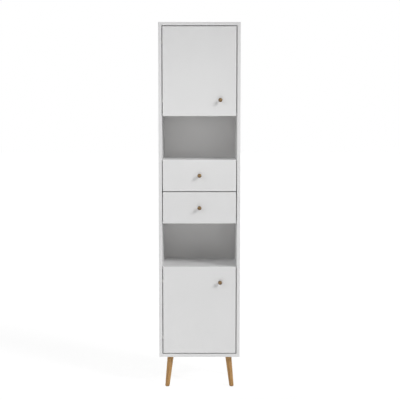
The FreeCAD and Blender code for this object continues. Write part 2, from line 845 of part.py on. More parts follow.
def glide(side, end):
    """A round glide with a pin, under a foot."""
    low, high = glide_pin_ends(side, end)
    disc = rod(glide_diameter, low, low + Z_AXIS * glide_thickness)
    return disc.fuse(rod(glide_pin_diameter, low, high)).removeSplitter().Solids[0]


# Writing the nodes.

def save_carcass():
    """Boards, back and the fasteners that join them."""
    dowels = []
    bolts = []
    locks = []
    for name, z_low, y_edge, opens in cross_boards:
        save(name, cross_board(name, z_low, y_edge, opens))
        for side in SIDES.values():
            dowels += [rod(dowel_diameter, *ends) for ends in dowel_ends(z_low, side)]
            bolts += [cam_bolt(*ends) for ends in cam_places(z_low, side)]
            locks += [cam_lock(start, end, z_low, opens) for start, end in cam_places(z_low, side)]
    for word, side in SIDES.items():
        save("side_panel_" + word, side_panel(side))
    save("back_panel", back_panel())
    save("carcass_dowels", *dowels)
    save("cam_bolts", *bolts)
    save("cam_locks", *locks)
    save("wall_bracket", wall_bracket())
    seats = bracket_screw_seats()
    save("wall_bracket_screws", *[screw(seat, Z_AXIS, bracket_screw_length) for seat in seats])


def save_shelves_and_catches():
    """Loose shelves, their pins and the magnets."""
    for level in LEVELS:
        save(level + "_cupboard_shelf", adjustable_shelf(level))
    save("shelf_pins", *shelf_pins())
    save("magnetic_catches", *[rod(catch_diameter, *catch_ends(level)) for level in LEVELS])


def save_hinge_arms():
    """The fixed halves of the four hinges with their screws."""
    levels = [z for level in LEVELS for z in hinge_levels(level)]
    seats = [seat for z in levels for seat in hinge_arm_screw_seats(z)]
    save("hinge_arms", *[hinge_arm(z) for z in levels])
    save("hinge_arm_screws", *[screw(seat, X_AXIS * -1, hinge_screw_length) for seat in seats])


def save_door(level):
    """A door with everything that swings with it."""
    name = level + "_door"
    levels = hinge_levels(level)
    seats = [seat for z in levels for seat in cup_screw_seats(z)]
    save(name, door(level))
    save(name + "_knob", knob(door_knob_point(level)))
    save(name + "_knob_screw", knob_screw(door_knob_point(level)))
    save(name + "_hinge_cups", *[hinge_cup(z) for z in levels])
    save(name + "_hinge_pins", *[hinge_pin_solid(z) for z in levels])
    save(name + "_cup_screws", *[screw(seat, Y_AXIS * -1, cup_screw_length) for seat in seats])
    save(name + "_strike_plate", strike_plate(level))


def save_drawer(level):
    """A drawer with everything that slides with it."""
    name = level + "_drawer"
    save(name + "_front", drawer_front(level))
    for word, side in SIDES.items():
        save(name + "_" + word + "_side", drawer_side(level, side))
    save(name + "_back", drawer_back(level))
    save(name + "_bottom", drawer_bottom(level))
    save(name + "_knob", knob(drawer_knob_point(level)))
    save(name + "_knob_screw", knob_screw(drawer_knob_point(level)))


def save_rails():
    """The fixed rails of the drawers with their screws."""
    screws = []
    for word, side in SIDES.items():
        save("drawer_rails_" + word, *[drawer_rail(level, side) for level in LEVELS])
        seats = [seat for level in LEVELS for seat in rail_screw_seats(level, side)]
        screws += [screw(seat, X_AXIS * side, rail_screw_length) for seat in seats]
    save("drawer_rail_screws", *screws)


def save_legs():
    """Legs with their plates, screws, bolts and glides."""
    places = list(leg_places.values())
    for word, place in leg_places.items():
        save(word + "_leg", leg(*place))
    seats = [seat for place in places for seat in leg_plate_screw_seats(*place)]
    save("leg_plates", *[leg_plate(*place) for place in places])
    save("leg_plate_screws", *[screw(seat, Z_AXIS, leg_screw_length) for seat in seats])
    save("leg_bolts", *[leg_bolt(*place) for place in places])
    save("foot_glides", *[glide(*place) for place in places])


os.makedirs("parts", exist_ok=True)
save_carcass()
save_shelves_and_catches()
save_hinge_arms()
save_rails()
save_legs()
for level_name in LEVELS:
    save_door(level_name)
    save_drawer(level_name)
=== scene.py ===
# %% [markdown]
# # A tall linen cabinet on turned legs
# The real cabinet is a narrow box of white coated board with two inset doors, two drawers, two open
# niches, brass knobs and four splayed oak legs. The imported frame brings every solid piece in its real
# place, in metres, so nothing has to be fitted. This lesson gives each piece its finish, makes the pieces
# that a lathe or a screw machine makes, and lights the whole as a small studio would.

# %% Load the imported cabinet
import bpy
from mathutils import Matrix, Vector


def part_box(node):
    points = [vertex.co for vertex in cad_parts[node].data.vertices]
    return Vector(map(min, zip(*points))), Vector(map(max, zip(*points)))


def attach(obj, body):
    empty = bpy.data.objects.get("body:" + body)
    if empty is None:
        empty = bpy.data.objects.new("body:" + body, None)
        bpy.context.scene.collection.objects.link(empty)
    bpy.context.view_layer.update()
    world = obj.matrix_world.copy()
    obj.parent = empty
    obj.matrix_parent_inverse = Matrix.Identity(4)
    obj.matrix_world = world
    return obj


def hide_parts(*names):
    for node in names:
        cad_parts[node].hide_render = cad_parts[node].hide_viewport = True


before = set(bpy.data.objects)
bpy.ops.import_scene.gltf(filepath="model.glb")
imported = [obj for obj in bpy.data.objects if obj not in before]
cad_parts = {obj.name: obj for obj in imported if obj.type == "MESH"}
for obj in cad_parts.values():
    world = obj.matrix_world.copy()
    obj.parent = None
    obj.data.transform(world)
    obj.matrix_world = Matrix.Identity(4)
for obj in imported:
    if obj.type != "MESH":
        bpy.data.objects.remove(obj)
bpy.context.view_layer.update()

# %% [markdown]
# ## Measures
# A camera and lamps could be placed by eye, but then they would be wrong as soon as a size changes. Here
# the camera is placed from the plane of the closed fronts, and the floor that the feet stand on is
# the ground plane of the frame. Small sizes are written in millimetres, as a maker would say them.

# %% Measures of the cabinet
from math import cos, pi, radians, sin

import bmesh
import bpy
from mathutils import Color, Vector

millimetre = 0.001
scene = bpy.context.scene
fronts_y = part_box("side_panel_left")[0].y

# %% [markdown]
# ## The camera
# The cabinet is seen square from the front, by an eye well above its middle: the tops of the lower boards
# show, and the undersides of the upper ones. A level camera with a large downward shift would keep the
# uprights perfectly parallel, yet every other view would keep that shift too and lose the feet. So
# the camera looks down by a few degrees, and the uprights lean by less than a pixel.

# %% Place the camera
eye_distance = 4.6
eye_height = 1.355
eye_right = 0.0027
field_of_view = radians(24.03)
look_down = radians(5.08)

camera_data = bpy.data.cameras.new("studio_camera")
camera_data.angle = field_of_view
camera = bpy.data.objects.new("studio_camera", camera_data)
camera.location = (eye_right, fronts_y - eye_distance, eye_height)
camera.rotation_euler = (radians(90) - look_down, 0, 0)
scene.collection.objects.link(camera)
scene.camera = camera
print("camera at", [round(place, 3) for place in camera.location], "lens", round(camera_data.lens, 2), "mm")

# %% [markdown]
# ## A helper for node trees
# Materials, the world and Geometry Nodes are all trees of nodes. Adding a node takes three steps each time:
# make it, set its options, and link or fill its sockets. One helper does all three, so that each finish
# below reads as a list of what it is made of. A second one lets colours be written as they look.

# %% Add a node, and write colours as they look
screen_white = 255


def add(tree, kind, inputs=None, **options):
    """A new node with its options set; an input is a socket to link, or a value."""
    node = tree.nodes.new(kind)
    for name, value in options.items():
        setattr(node, name, value)
    for name, value in (inputs or {}).items():
        if isinstance(value, bpy.types.NodeSocket):
            tree.links.new(value, node.inputs[name])
        else:
            node.inputs[name].default_value = value
    return node


def seen(red, green, blue):
    """A colour as it looks on a screen, 0 to 255, turned into the light values that shaders use."""
    on_screen = Color(part / screen_white for part in (red, green, blue))
    return (*on_screen.from_srgb_to_scene_linear(), 1)


def grey(level):
    """A grey of this light value."""
    return (level, level, level, 1)


print("mid grey on a screen is", round(seen(128, 128, 128)[0], 3), "of white light")

# %% [markdown]
# ## The studio
# The cabinet stands before a pure white ground. More light could bleach the ground, but it would bleach the
# boards too. So white is what the camera and reflections see, while the light that the world gives
# to the boards stays at a plain level: the Light Path node tells these rays apart in one shader. The
# Standard view transform shows each light value as it is, with no film look on top.

# %% The white world
def seen_directly(tree):
    """1 for rays from the camera, a mirror or a glass, 0 for the rays that carry soft light."""
    rays = add(tree, "ShaderNodeLightPath").outputs
    either = add(tree, "ShaderNodeMath", {0: rays["Is Camera Ray"], 1: rays["Is Glossy Ray"]},
                 operation="ADD").outputs[0]
    return add(tree, "ShaderNodeMath", {0: either, 1: rays["Is Transmission Ray"]},
               operation="ADD", use_clamp=True).outputs[0]


white = grey(1.0)
soft_light = 0.21
world = bpy.data.worlds.new("white_studio")
world.use_nodes = True
scene.world = world
tree = world.node_tree
tree.nodes.remove(tree.nodes["Background"])
around = add(tree, "ShaderNodeBackground", {"Color": white, "Strength": soft_light})
ground = add(tree, "ShaderNodeBackground", {"Color": white, "Strength": 1.0})
both = add(tree, "ShaderNodeMixShader",
           {0: seen_directly(tree), 1: around.outputs[0], 2: ground.outputs[0]})
tree.links.new(both.outputs[0], tree.nodes["World Output"].inputs["Surface"])
scene.view_settings.view_transform = "Standard"
print("world gives", soft_light, "of white as soft light")

# %% [markdown]
# ## The floor
# The floor is one large sheet of pale paper. The camera sees it glow almost to white, and a thin layer of
# ordinary paper over that glow keeps a faint shadow by the cabinet. A shadow catcher would need the
# compositor. For the soft light the floor is plain paper, which throws light up at the boards as a
# real floor does.

# %% The paper floor
floor_reach = 30
paper_white = 0.92
paper_glow = 0.855
paper_shadow = 0.25

floor_mesh = bpy.data.meshes.new("studio_floor")
corners = [(-floor_reach, -floor_reach, 0), (floor_reach, -floor_reach, 0),
           (floor_reach, floor_reach, 0), (-floor_reach, floor_reach, 0)]
floor_mesh.from_pydata(corners, [], [(0, 1, 2, 3)])
floor = bpy.data.objects.new("studio_floor", floor_mesh)
scene.collection.objects.link(floor)

floor_paper = bpy.data.materials.new("pale_floor_paper")
floor_paper.use_nodes = True
tree = floor_paper.node_tree
tree.nodes.remove(tree.nodes["Principled BSDF"])
plain = add(tree, "ShaderNodeBsdfDiffuse", {"Color": grey(paper_white)})
shadow = add(tree, "ShaderNodeBsdfDiffuse", {"Color": grey(paper_shadow)})
glow = add(tree, "ShaderNodeEmission", {"Color": white, "Strength": paper_glow})
bright = add(tree, "ShaderNodeAddShader", {0: shadow.outputs[0], 1: glow.outputs[0]})
paper = add(tree, "ShaderNodeMixShader",
            {0: seen_directly(tree), 1: plain.outputs[0], 2: bright.outputs[0]})
tree.links.new(paper.outputs[0], tree.nodes["Material Output"].inputs["Surface"])
floor_mesh.materials.append(floor_paper)
print("floor", 2 * floor_reach, "m wide")

# %% [markdown]
# ## The far lamps
# The knobs tell how the studio was lit: each throws a clear shadow to the lower left and a weak one to the
# lower right. So a wide lamp stands high on the right, a weaker one mirrors it, and both are far away.
# Blender's sun lamp is such a far lamp: it needs only a direction, and its angle makes the shadows soft.
# Its strength follows from the share of white that it adds on the fronts. One lamp from behind keeps the
# back and sides from going grey.

# %% Hang the far lamps
lamp_width = radians(18)


def far_lamp(name, direction, share):
    """A wide far lamp in this direction that adds this share of white to the fronts, or to the back."""
    towards = Vector(direction).normalized()
    data = bpy.data.lights.new(name, "SUN")
    data.angle = lamp_width
    data.energy = share * pi / abs(towards.y)
    lamp = bpy.data.objects.new(name, data)
    lamp.rotation_euler = towards.to_track_quat("Z", "Y").to_euler()
    scene.collection.objects.link(lamp)
    print(name, "gives", share, "of white to the", "back" if towards.y > 0 else "fronts")


far_lamp("key_lamp", direction=(1.3, -1.0, 1.05), share=0.22)
far_lamp("fill_lamp", direction=(-1.3, -1.0, 0.8), share=0.09)
far_lamp("rear_lamp", direction=(-0.9, 1.0, 0.75), share=0.2)

# %% [markdown]
# ## The near soft boxes
# The niches tell more: the upper one is lighter than the lower one, and the back of the lower one darkens
# downwards. Far lamps light both alike. Two wide soft boxes close to the fronts don't: one at the height of
# the upper niche lights it deep inside, and one near the floor shines up into the lower niche and evens out
# the fronts. A soft box is an area lamp. A surface straight ahead of it gets its watts over pi times
# the distance squared, and a white board shows a pi-th part of that as brightness. So the watts
# follow from the share of white, and a wide box gives a little less.

# %% Set up the soft boxes
def soft_box(name, distance, height, size, share):
    """A lit panel before the fronts, at this distance and height, that adds about this share of white."""
    data = bpy.data.lights.new(name, "AREA")
    data.shape = "RECTANGLE"
    data.size, data.size_y = size
    data.energy = share * pi * pi * distance ** 2
    lamp = bpy.data.objects.new(name, data)
    lamp.location = (0, fronts_y - distance, height)
    lamp.rotation_euler = (pi / 2, 0, 0)
    lamp.visible_camera = False
    scene.collection.objects.link(lamp)
    print(name, "gives about", share, "of white from", distance, "m")


soft_box("upper_soft_box", distance=0.6, height=1.35, size=(1.0, 0.3), share=0.25)
soft_box("lower_soft_box", distance=1.0, height=0.25, size=(1.2, 0.4), share=0.15)

# %% [markdown]
# ## Starting a finish
# Every finish starts from Blender's Principled shader. What is the same all over the surface, such as how
# metallic it is, is set on the shader itself. What varies, such as colour, gloss and small relief, comes
# from textures in Object coordinates. These are metres in the frame, so a grain has its real scale.

# %% Helpers for finishes
def finish(name, **sockets):
    """A material and its tree, shader and Object coordinates; sockets are what is the same all over."""
    material = bpy.data.materials.new(name)
    material.use_nodes = True
    tree = material.node_tree
    shader = tree.nodes["Principled BSDF"]
    for socket, value in sockets.items():
        shader.inputs[socket.replace("_", " ")].default_value = value
    return material, tree, shader, add(tree, "ShaderNodeTexCoord").outputs["Object"]


def feed(tree, shader, **sockets):
    """Link patterns to the shader's sockets."""
    for socket, source in sockets.items():
        tree.links.new(source, shader.inputs[socket.replace("_", " ")])


def relief(tree, shader, height, depth):
    """Small relief of this depth in metres, felt by the light only."""
    bump = add(tree, "ShaderNodeBump", {"Height": height, "Distance": depth})
    feed(tree, shader, Normal=bump.outputs["Normal"])


print("finishes start from the shader, its links and its relief")

# %% [markdown]
# ## Patterns
# Nearly all wear and grain is noise, drawn out or squeezed, that moves a colour or a gloss between two
# values. Image textures could hold it, but noise has no seams, no resolution and no fixed place, so four
# small helpers are enough: cloudy noise, colours between stops, two tones, and a spread of values.

# %% Helpers for patterns
tone_share = 0.3


def noise(tree, place, scale, detail=2.0, **more):
    """Cloudy noise with about this many clouds to the metre."""
    inputs = {"Vector": place, "Scale": scale, "Detail": detail, **more}
    return add(tree, "ShaderNodeTexNoise", inputs).outputs["Fac"]


def ramp(tree, factor, *stops):
    """Colours that blend between stops, each a place from 0 to 1 and a colour."""
    node = add(tree, "ShaderNodeValToRGB", {"Fac": factor})
    elements = node.color_ramp.elements
    while len(elements) < len(stops):
        elements.new(1.0)
    for element, (place, colour) in zip(elements, stops):
        element.position = place
        element.color = colour
    return node.outputs["Color"]


def two_tones(tree, factor, dull, light):
    """A dull and a light tone that drift into each other over the middle of a pattern."""
    return ramp(tree, factor, (tone_share, dull), (1 - tone_share, light))


def spread(tree, factor, low, high):
    """A 0 to 1 pattern spread between two values."""
    values = {"Value": factor, "To Min": low, "To Max": high}
    return add(tree, "ShaderNodeMapRange", values).outputs["Result"]


print("patterns blend over the middle", round(1 - 2 * tone_share, 2), "of a noise")

# %% [markdown]
# ## White coated board
# Doors, drawers and carcass are particle board under a white matt foil. Up close such a foil has a fine
# pearl like eggshell, and over a whole panel its white drifts by a hair. A flat white would look like
# plastic, so a slow noise moves the tone, and a very fine one moves the gloss and the relief.

# %% Finish: coated board and painted hardboard
board_sheen = 0.3
drift_scale = 3.0


def coated_board(name, light, dull, pearl_scale, pearl_depth, gloss):
    """Matt white board: slow drift in tone, fine pearl in gloss and relief."""
    material, tree, shader, place = finish(name, Specular_IOR_Level=board_sheen)
    drift = noise(tree, place, drift_scale)
    pearl = noise(tree, place, pearl_scale)
    feed(tree, shader, Base_Color=two_tones(tree, drift, dull, light),
         Roughness=spread(tree, pearl, *gloss))
    relief(tree, shader, pearl, pearl_depth)
    return material


white_board = coated_board("satin_white_board", light=seen(230, 230, 230), dull=seen(227, 227, 227),
                           pearl_scale=900, pearl_depth=0.02 * millimetre, gloss=(0.56, 0.70))
white_hardboard = coated_board("painted_hardboard", light=seen(230, 229, 228), dull=seen(226, 225, 224),
                               pearl_scale=420, pearl_depth=0.06 * millimetre, gloss=(0.58, 0.74))
print("made", white_board.name, "and", white_hardboard.name)

# %% [markdown]
# ## Wood
# The legs are turned from straight-grained oak and oiled; the dowels in the joints are plain beech. Grain
# runs along the stick. Laid along the frame's axes it would cut across a leaning leg, so one Mapping node
# turns the pattern's Z to the stick's own line and stretches it there. Broad noise gives the growth
# rings, a finer one gives the pores, and one multiplies the other as dark pores do on pale wood.

# %% Finish: wood along a line
grain_stretch = 14
ring_detail, ring_wobble = 3.0, 0.6
dark_stop, middle_stop, light_stop = 0.28, 0.50, 0.74
pore_share = 6
pore_stop, clear_stop = 0.30, 0.44
pore_dark = (0.62, 0.58, 0.52, 1)
pore_depth = 0.07 * millimetre


def wood(name, foot, line, dark, middle, light, ring_scale, gloss):
    """Wood with its grain along a line from a foot point."""
    material, tree, shader, place = finish(name)
    turned = Vector((0, 0, 1)).rotation_difference(line).to_euler()
    along = add(tree, "ShaderNodeMapping",
                {"Vector": place, "Location": foot, "Rotation": turned, "Scale": (1, 1, grain_stretch)},
                vector_type="TEXTURE").outputs[0]
    rings = noise(tree, along, ring_scale, detail=ring_detail, Distortion=ring_wobble)
    pores = noise(tree, along, ring_scale * pore_share)
    grain = ramp(tree, rings, (dark_stop, dark), (middle_stop, middle), (light_stop, light))
    pore_marks = ramp(tree, pores, (pore_stop, pore_dark), (clear_stop, white))
    colour = add(tree, "ShaderNodeVectorMath", {0: grain, 1: pore_marks}, operation="MULTIPLY").outputs[0]
    feed(tree, shader, Base_Color=colour, Roughness=spread(tree, rings, *gloss))
    relief(tree, shader, pores, pore_depth)
    return material


beech = wood("raw_beech", Vector((0, 0, 0)), Vector((1, 0, 0)), dark=seen(196, 156, 110),
             middle=seen(214, 178, 132), light=seen(226, 194, 150), ring_scale=260, gloss=(0.6, 0.75))
print("made", beech.name)

# %% [markdown]
# ## Brass
# The knobs are turned brass that has gone brown with handling. A lathe leaves very fine rings. They could
# be drawn as a wave, but a wave is too even. So one noise gives both the rings' gloss and their relief. It
# is driven by the distance from the knob's axis plus the way out along it, so that the rings cover the
# neck as well as the dome. A second, cloudy noise lays the tarnish over it.

# %% Finish: aged brass
lathe_scale, lathe_detail = 2600, 1.0
lathe_depth = 0.01 * millimetre
tarnish_scale, tarnish_detail = 160, 3.0
tarnished_brass = seen(96, 77, 55)
rubbed_brass = seen(131, 108, 79)
brass_gloss = (0.28, 0.46)
across_the_axis = (1, 0, 1)


def aged_brass(name, centre):
    """Turned brass with rings about a line through the centre, along Y."""
    material, tree, shader, place = finish(name, Metallic=1.0)
    centred = add(tree, "ShaderNodeMapping", {"Vector": place, "Location": centre},
                  vector_type="TEXTURE").outputs[0]
    flat = add(tree, "ShaderNodeVectorMath", {0: centred, 1: across_the_axis},
               operation="MULTIPLY").outputs[0]
    radius = add(tree, "ShaderNodeVectorMath", {0: flat}, operation="LENGTH").outputs["Value"]
    depth = add(tree, "ShaderNodeSeparateXYZ", {0: centred}).outputs["Y"]
    ring = add(tree, "ShaderNodeMath", {0: radius, 1: depth}, operation="SUBTRACT").outputs[0]
    lines = add(tree, "ShaderNodeTexNoise", {"W": ring, "Scale": lathe_scale, "Detail": lathe_detail},
                noise_dimensions="1D").outputs["Fac"]
    tarnish = noise(tree, place, tarnish_scale, detail=tarnish_detail)
    feed(tree, shader, Base_Color=two_tones(tree, tarnish, tarnished_brass, rubbed_brass),
         Roughness=spread(tree, lines, *brass_gloss))
    relief(tree, shader, lines, lathe_depth)
    return material


print("brass is made knob by knob, with its rings about each knob's own axis")

# %% [markdown]
# ## Fittings
# Hinges, plates and brackets are pressed from nickelled steel, screws are zinc plated, and the cam locks
# are cast zinc. All three are grey metals, and what tells them apart is their surface: long rolling marks,
# a bright cloudy plating, and a dull cast skin. Three separate materials would repeat each other, so one
# function takes the marks' stretch and scale.

# %% Finish: grey metals
plating_scale = 90
mark_detail = 3.0
even = (1, 1, 1)


def grey_metal(name, light, dull, scale, stretch, gloss, depth):
    """Grey metal with marks of this scale, drawn out along the stretch."""
    material, tree, shader, place = finish(name, Metallic=1.0)
    drawn = add(tree, "ShaderNodeMapping", {"Vector": place, "Scale": stretch},
                vector_type="TEXTURE").outputs[0]
    marks = noise(tree, drawn, scale, detail=mark_detail)
    cloud = noise(tree, place, plating_scale)
    feed(tree, shader, Base_Color=two_tones(tree, cloud, dull, light),
         Roughness=spread(tree, marks, *gloss))
    relief(tree, shader, marks, depth)
    return material


fitting_steel = grey_metal("nickelled_steel", light=seen(206, 204, 199), dull=seen(190, 187, 181),
                           scale=1600, stretch=(1, 1, 12), gloss=(0.22, 0.42), depth=0.01 * millimetre)
screw_steel = grey_metal("zinc_plated_steel", light=seen(200, 202, 204), dull=seen(176, 180, 184),
                         scale=900, stretch=even, gloss=(0.25, 0.45), depth=0.01 * millimetre)
cast_zinc = grey_metal("die_cast_zinc", light=seen(172, 174, 177), dull=seen(150, 152, 155),
                       scale=1200, stretch=even, gloss=(0.45, 0.65), depth=0.04 * millimetre)
print("made", fitting_steel.name, screw_steel.name, cast_zinc.name)

# %% [markdown]
# ## Moulded plastic
# The drawer rails are white plastic, and the catches and foot glides grey. A mould is spark eroded, which
# leaves an even fine grain all over. That grain is the whole difference between plastic and paint, so it
# is a dense noise in the relief, and the colour only breathes a little.

# %% Finish: moulded plastics
mould_scale = 2200
mould_depth = 0.03 * millimetre
mould_gloss = (0.42, 0.58)
melt_scale = 40


def moulded_plastic(name, light, dull):
    """Plastic with the fine even grain of its mould."""
    material, tree, shader, place = finish(name)
    grain = noise(tree, place, mould_scale)
    cloud = noise(tree, place, melt_scale)
    feed(tree, shader, Base_Color=two_tones(tree, cloud, dull, light),
         Roughness=spread(tree, grain, *mould_gloss))
    relief(tree, shader, grain, mould_depth)
    return material


white_plastic = moulded_plastic("white_moulded_plastic", light=seen(226, 226, 224), dull=seen(218, 218, 216))
grey_plastic = moulded_plastic("grey_moulded_plastic", light=seen(142, 143, 145), dull=seen(128, 129, 131))
print("made", white_plastic.name, grey_plastic.name)

# %% [markdown]
# ## Finishing the solid pieces
# The record gives each node a material slot, which is a maker's word for its stuff. Each piece could be
# finished by name, but one table that turns those words into finishes does all boards, fittings and rails
# in one loop. The legs come after it, because each needs oak that runs along its own line.

# %% Give each node its finish
finish_of_slot = {
    "white_board": white_board,
    "white_hardboard": white_hardboard,
    "beech": beech,
    "fitting_steel": fitting_steel,
    "screw_steel": screw_steel,
    "zinc": cast_zinc,
    "white_plastic": white_plastic,
    "grey_plastic": grey_plastic,
}
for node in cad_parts.values():
    for place in node.material_slots:
        stuff = place.material.name.split(".")[0]
        if stuff in finish_of_slot:
            place.material = finish_of_slot[stuff]
in_use = {place.material.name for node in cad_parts.values() for place in node.material_slots}
print("finishes in use:", sorted(in_use))

# %% [markdown]
# ## Oak legs
# Each leg leans outward by a few degrees, both ways. Its grain has to lean with it, or it would look cut
# from a slanted plank. The lean could be typed in as two angles; measured on the leg's own mesh, from the
# middle of its level foot to the middle of its level top, it stays right. The oak is made once for
# each leg along that line.

# %% Oak along each leg
level_reach = 0.2 * millimetre


def end_centre(node, end):
    """The centre of the level end of a leg, foot or top."""
    points = [vertex.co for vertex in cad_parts[node].data.vertices]
    level = end(point.z for point in points)
    rim = [point for point in points if abs(point.z - level) < level_reach]
    return sum(rim, Vector()) / len(rim)


for name in ("front_left_leg", "front_right_leg", "rear_left_leg", "rear_right_leg"):
    foot = end_centre(name, min)
    line = end_centre(name, max) - foot
    oak = wood("oiled_oak_" + name, foot, line, dark=seen(150, 108, 60), middle=seen(178, 135, 80),
               light=seen(196, 155, 99), ring_scale=150, gloss=(0.42, 0.6))
    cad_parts[name].material_slots[0].material = oak
    print(name, "grain along", [round(part, 3) for part in line.normalized()])

# %% [markdown]
# ## Geometry Nodes pieces
# Some pieces follow a rule: a knob is one profile turned about an axis, and a screw is the same shape at
# every place where one is driven in. Mesh code could make each of them, while Geometry Nodes keep the
# rule as a tree with named sizes. Three helpers start a tree, end it, and run it on a small starting
# mesh. The result is turned into a plain mesh.

# %% Helpers for rules
sharp_edge = radians(40)


def rule(name, **sizes):
    """A tree of Geometry Nodes with one named input for each size, and its group input's sockets."""
    tree = bpy.data.node_groups.new(name, "GeometryNodeTree")
    tree.interface.new_socket("Geometry", in_out="INPUT", socket_type="NodeSocketGeometry")
    for size, kind in sizes.items():
        tree.interface.new_socket(size, in_out="INPUT", socket_type="NodeSocket" + kind)
    tree.interface.new_socket("Geometry", in_out="OUTPUT", socket_type="NodeSocketGeometry")
    return tree, tree.nodes.new("NodeGroupInput").outputs


def end_rule(tree, geometry, material):
    """The end of every rule: real faces instead of instances, with their finish."""
    real = add(tree, "GeometryNodeRealizeInstances", {"Geometry": geometry}).outputs[0]
    finished = add(tree, "GeometryNodeSetMaterial", {"Geometry": real, "Material": material}).outputs[0]
    add(tree, "NodeGroupOutput", {"Geometry": finished})
    print(tree.name, "has", len(tree.nodes), "nodes")


def follow(tree, name, mesh, **sizes):
    """A piece made by a rule from a starting mesh, as a plain mesh at the origin."""
    piece = bpy.data.objects.new(name, mesh)
    scene.collection.objects.link(piece)
    modifier = piece.modifiers.new("rule", "NODES")
    modifier.node_group = tree
    for socket in tree.interface.items_tree:
        if socket.name in sizes:
            modifier[socket.identifier] = sizes[socket.name]
    evaluated = piece.evaluated_get(bpy.context.evaluated_depsgraph_get())
    made = bpy.data.meshes.new_from_object(evaluated)
    piece.modifiers.clear()
    piece.data = made
    made.shade_smooth()
    made.set_sharp_from_angle(angle=sharp_edge)
    return piece


print("edges sharper than", round(sharp_edge, 2), "radians stay sharp")

# %% [markdown]
# ## Turned knobs
# A knob stands on a small foot, narrows to a neck, and opens to a round head with a soft dome. It could be
# spun in mesh code, but as a rule its profile stays one closed line, like a turner's drawing: distance
# from the axis, then distance from the door. The line is swept round a small circle, the axle.

# %% Rule: a profile turned about an axis
weld = 0.01 * millimetre
turning, given = rule("turned_profile", Sides="Int", Axle="Float", Place="Vector", Turn="Rotation",
                      Finish="Material")
inward = add(turning, "ShaderNodeMath", {0: given["Axle"], 1: -1.0}, operation="MULTIPLY").outputs[0]
slide = add(turning, "ShaderNodeCombineXYZ", {"X": inward}).outputs[0]
outline = add(turning, "GeometryNodeMeshToCurve", {"Mesh": given["Geometry"]}).outputs[0]
outline = add(turning, "GeometryNodeTransform", {"Geometry": outline, "Translation": slide}).outputs[0]
axle = add(turning, "GeometryNodeCurvePrimitiveCircle",
           {"Resolution": given["Sides"], "Radius": given["Axle"]}).outputs[0]
swept = add(turning, "GeometryNodeCurveToMesh", {"Curve": axle, "Profile Curve": outline}).outputs[0]
closed = add(turning, "GeometryNodeMergeByDistance", {"Geometry": swept, "Distance": weld}).outputs[0]
placed = add(turning, "GeometryNodeTransform",
             {"Geometry": closed, "Translation": given["Place"], "Rotation": given["Turn"]}).outputs[0]
end_rule(turning, placed, given["Finish"])

# %% [markdown]
# ## The knob's profile
# A turner works in straights, rounds and one long sweep. The rounds are arcs of a circle or an oval, and
# the sweep from neck to head is half a wave of the cosine, which leaves the neck and meets the head without
# a corner. A list of typed points could draw it too, but would hide these few sizes. The line ends in
# the bore for the screw, so that the knob is closed all round.

# %% Draw the profile in millimetres
foot_radius, foot_height, foot_round = 6.5, 2.0, 0.5
neck_radius, neck_round = 4.0, 0.9
sweep_start, sweep_end = 8.4, 16.4
head_radius, dome_start, knob_reach = 10.0, 18.0, 25.0
bore_radius, bore_depth, bore_tip = 2.0, 12.0, 13.0
steps = 10


def arc(across, out, wide, high, start, end):
    """Points on an oval about a centre, from one angle to another in degrees."""
    angles = [radians(start + (end - start) * step / steps) for step in range(steps + 1)]
    return [(across + wide * cos(angle), out + high * sin(angle)) for angle in angles]


def sweep(narrow, wide, start, end):
    """Points on half a cosine wave from a narrow radius to a wide one."""
    shares = [step / steps for step in range(steps + 1)]
    return [(narrow + (wide - narrow) * (1 - cos(pi * share)) / 2, start + (end - start) * share)
            for share in shares]


knob_profile = [(bore_radius, 0.0), (foot_radius, 0.0)]
knob_profile += arc(foot_radius - foot_round, foot_height - foot_round, foot_round, foot_round, 0, 90)
knob_profile += arc(neck_radius + neck_round, foot_height + neck_round, neck_round, neck_round, 270, 180)
knob_profile += sweep(neck_radius, head_radius, sweep_start, sweep_end)
knob_profile += arc(0.0, dome_start, head_radius, knob_reach - dome_start, 0, 90)
knob_profile += [(0.0, bore_tip), (bore_radius, bore_depth)]
print("knob profile has", len(knob_profile), "points")

# %% [markdown]
# ## Four knobs on their fronts
# Each knob stands with its foot on its door or drawer front. Four copies of one mesh would have the same
# shape, but the rings in the brass run about each knob's own axis. So each is turned at its own
# seat, which is measured on the plain knob in the frame, and then takes that knob's place and rides
# on the same front.

# %% Turn the four knobs
knob_sides = 56
knob_axle = 1.0 * millimetre
out_of_the_door = (-pi / 2, 0, 0)


def profile_mesh(name, profile):
    """A closed line through a profile in millimetres, in the ground plane."""
    mesh = bpy.data.meshes.new(name)
    points = [(radius * millimetre, out * millimetre, 0) for radius, out in profile]
    links = [(point, (point + 1) % len(points)) for point in range(len(points))]
    mesh.from_pydata(points, links, [])
    return mesh


for front in ("upper_door", "upper_drawer", "lower_drawer", "lower_door"):
    low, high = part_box(front + "_knob")
    seat = Vector(((low.x + high.x) / 2, high.y, (low.z + high.z) / 2))
    brass = aged_brass("aged_brass_" + front, seat)
    knob = follow(turning, front + "_turned_knob", profile_mesh(front + "_knob_profile", knob_profile),
                  Sides=knob_sides, Axle=knob_axle, Place=seat, Turn=out_of_the_door, Finish=brass)
    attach(knob, front)
    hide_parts(front + "_knob")
    print(knob.name, "with", len(knob.data.polygons), "faces at", [round(part, 3) for part in seat])

# %% [markdown]
# ## Where the screws are
# Every screw of the cabinet is already in the frame as a plain solid, so its place, direction and size are
# there to be measured and need not be written again. A node's mesh is loose triangles, so a copy is
# merged first, and then each connected part is one screw. Their places put them in order, rounded, because
# the last digit of a sum may change from run to run, and each screw should get the same turn every time.

# %% Take the screws of a node apart
same_point = 0.001 * millimetre
place_digits = 4


def rounded_place(points):
    """The middle of a solid's points, to a tenth of a millimetre."""
    return tuple(round(part, place_digits) for part in sum(points, Vector()) / len(points))


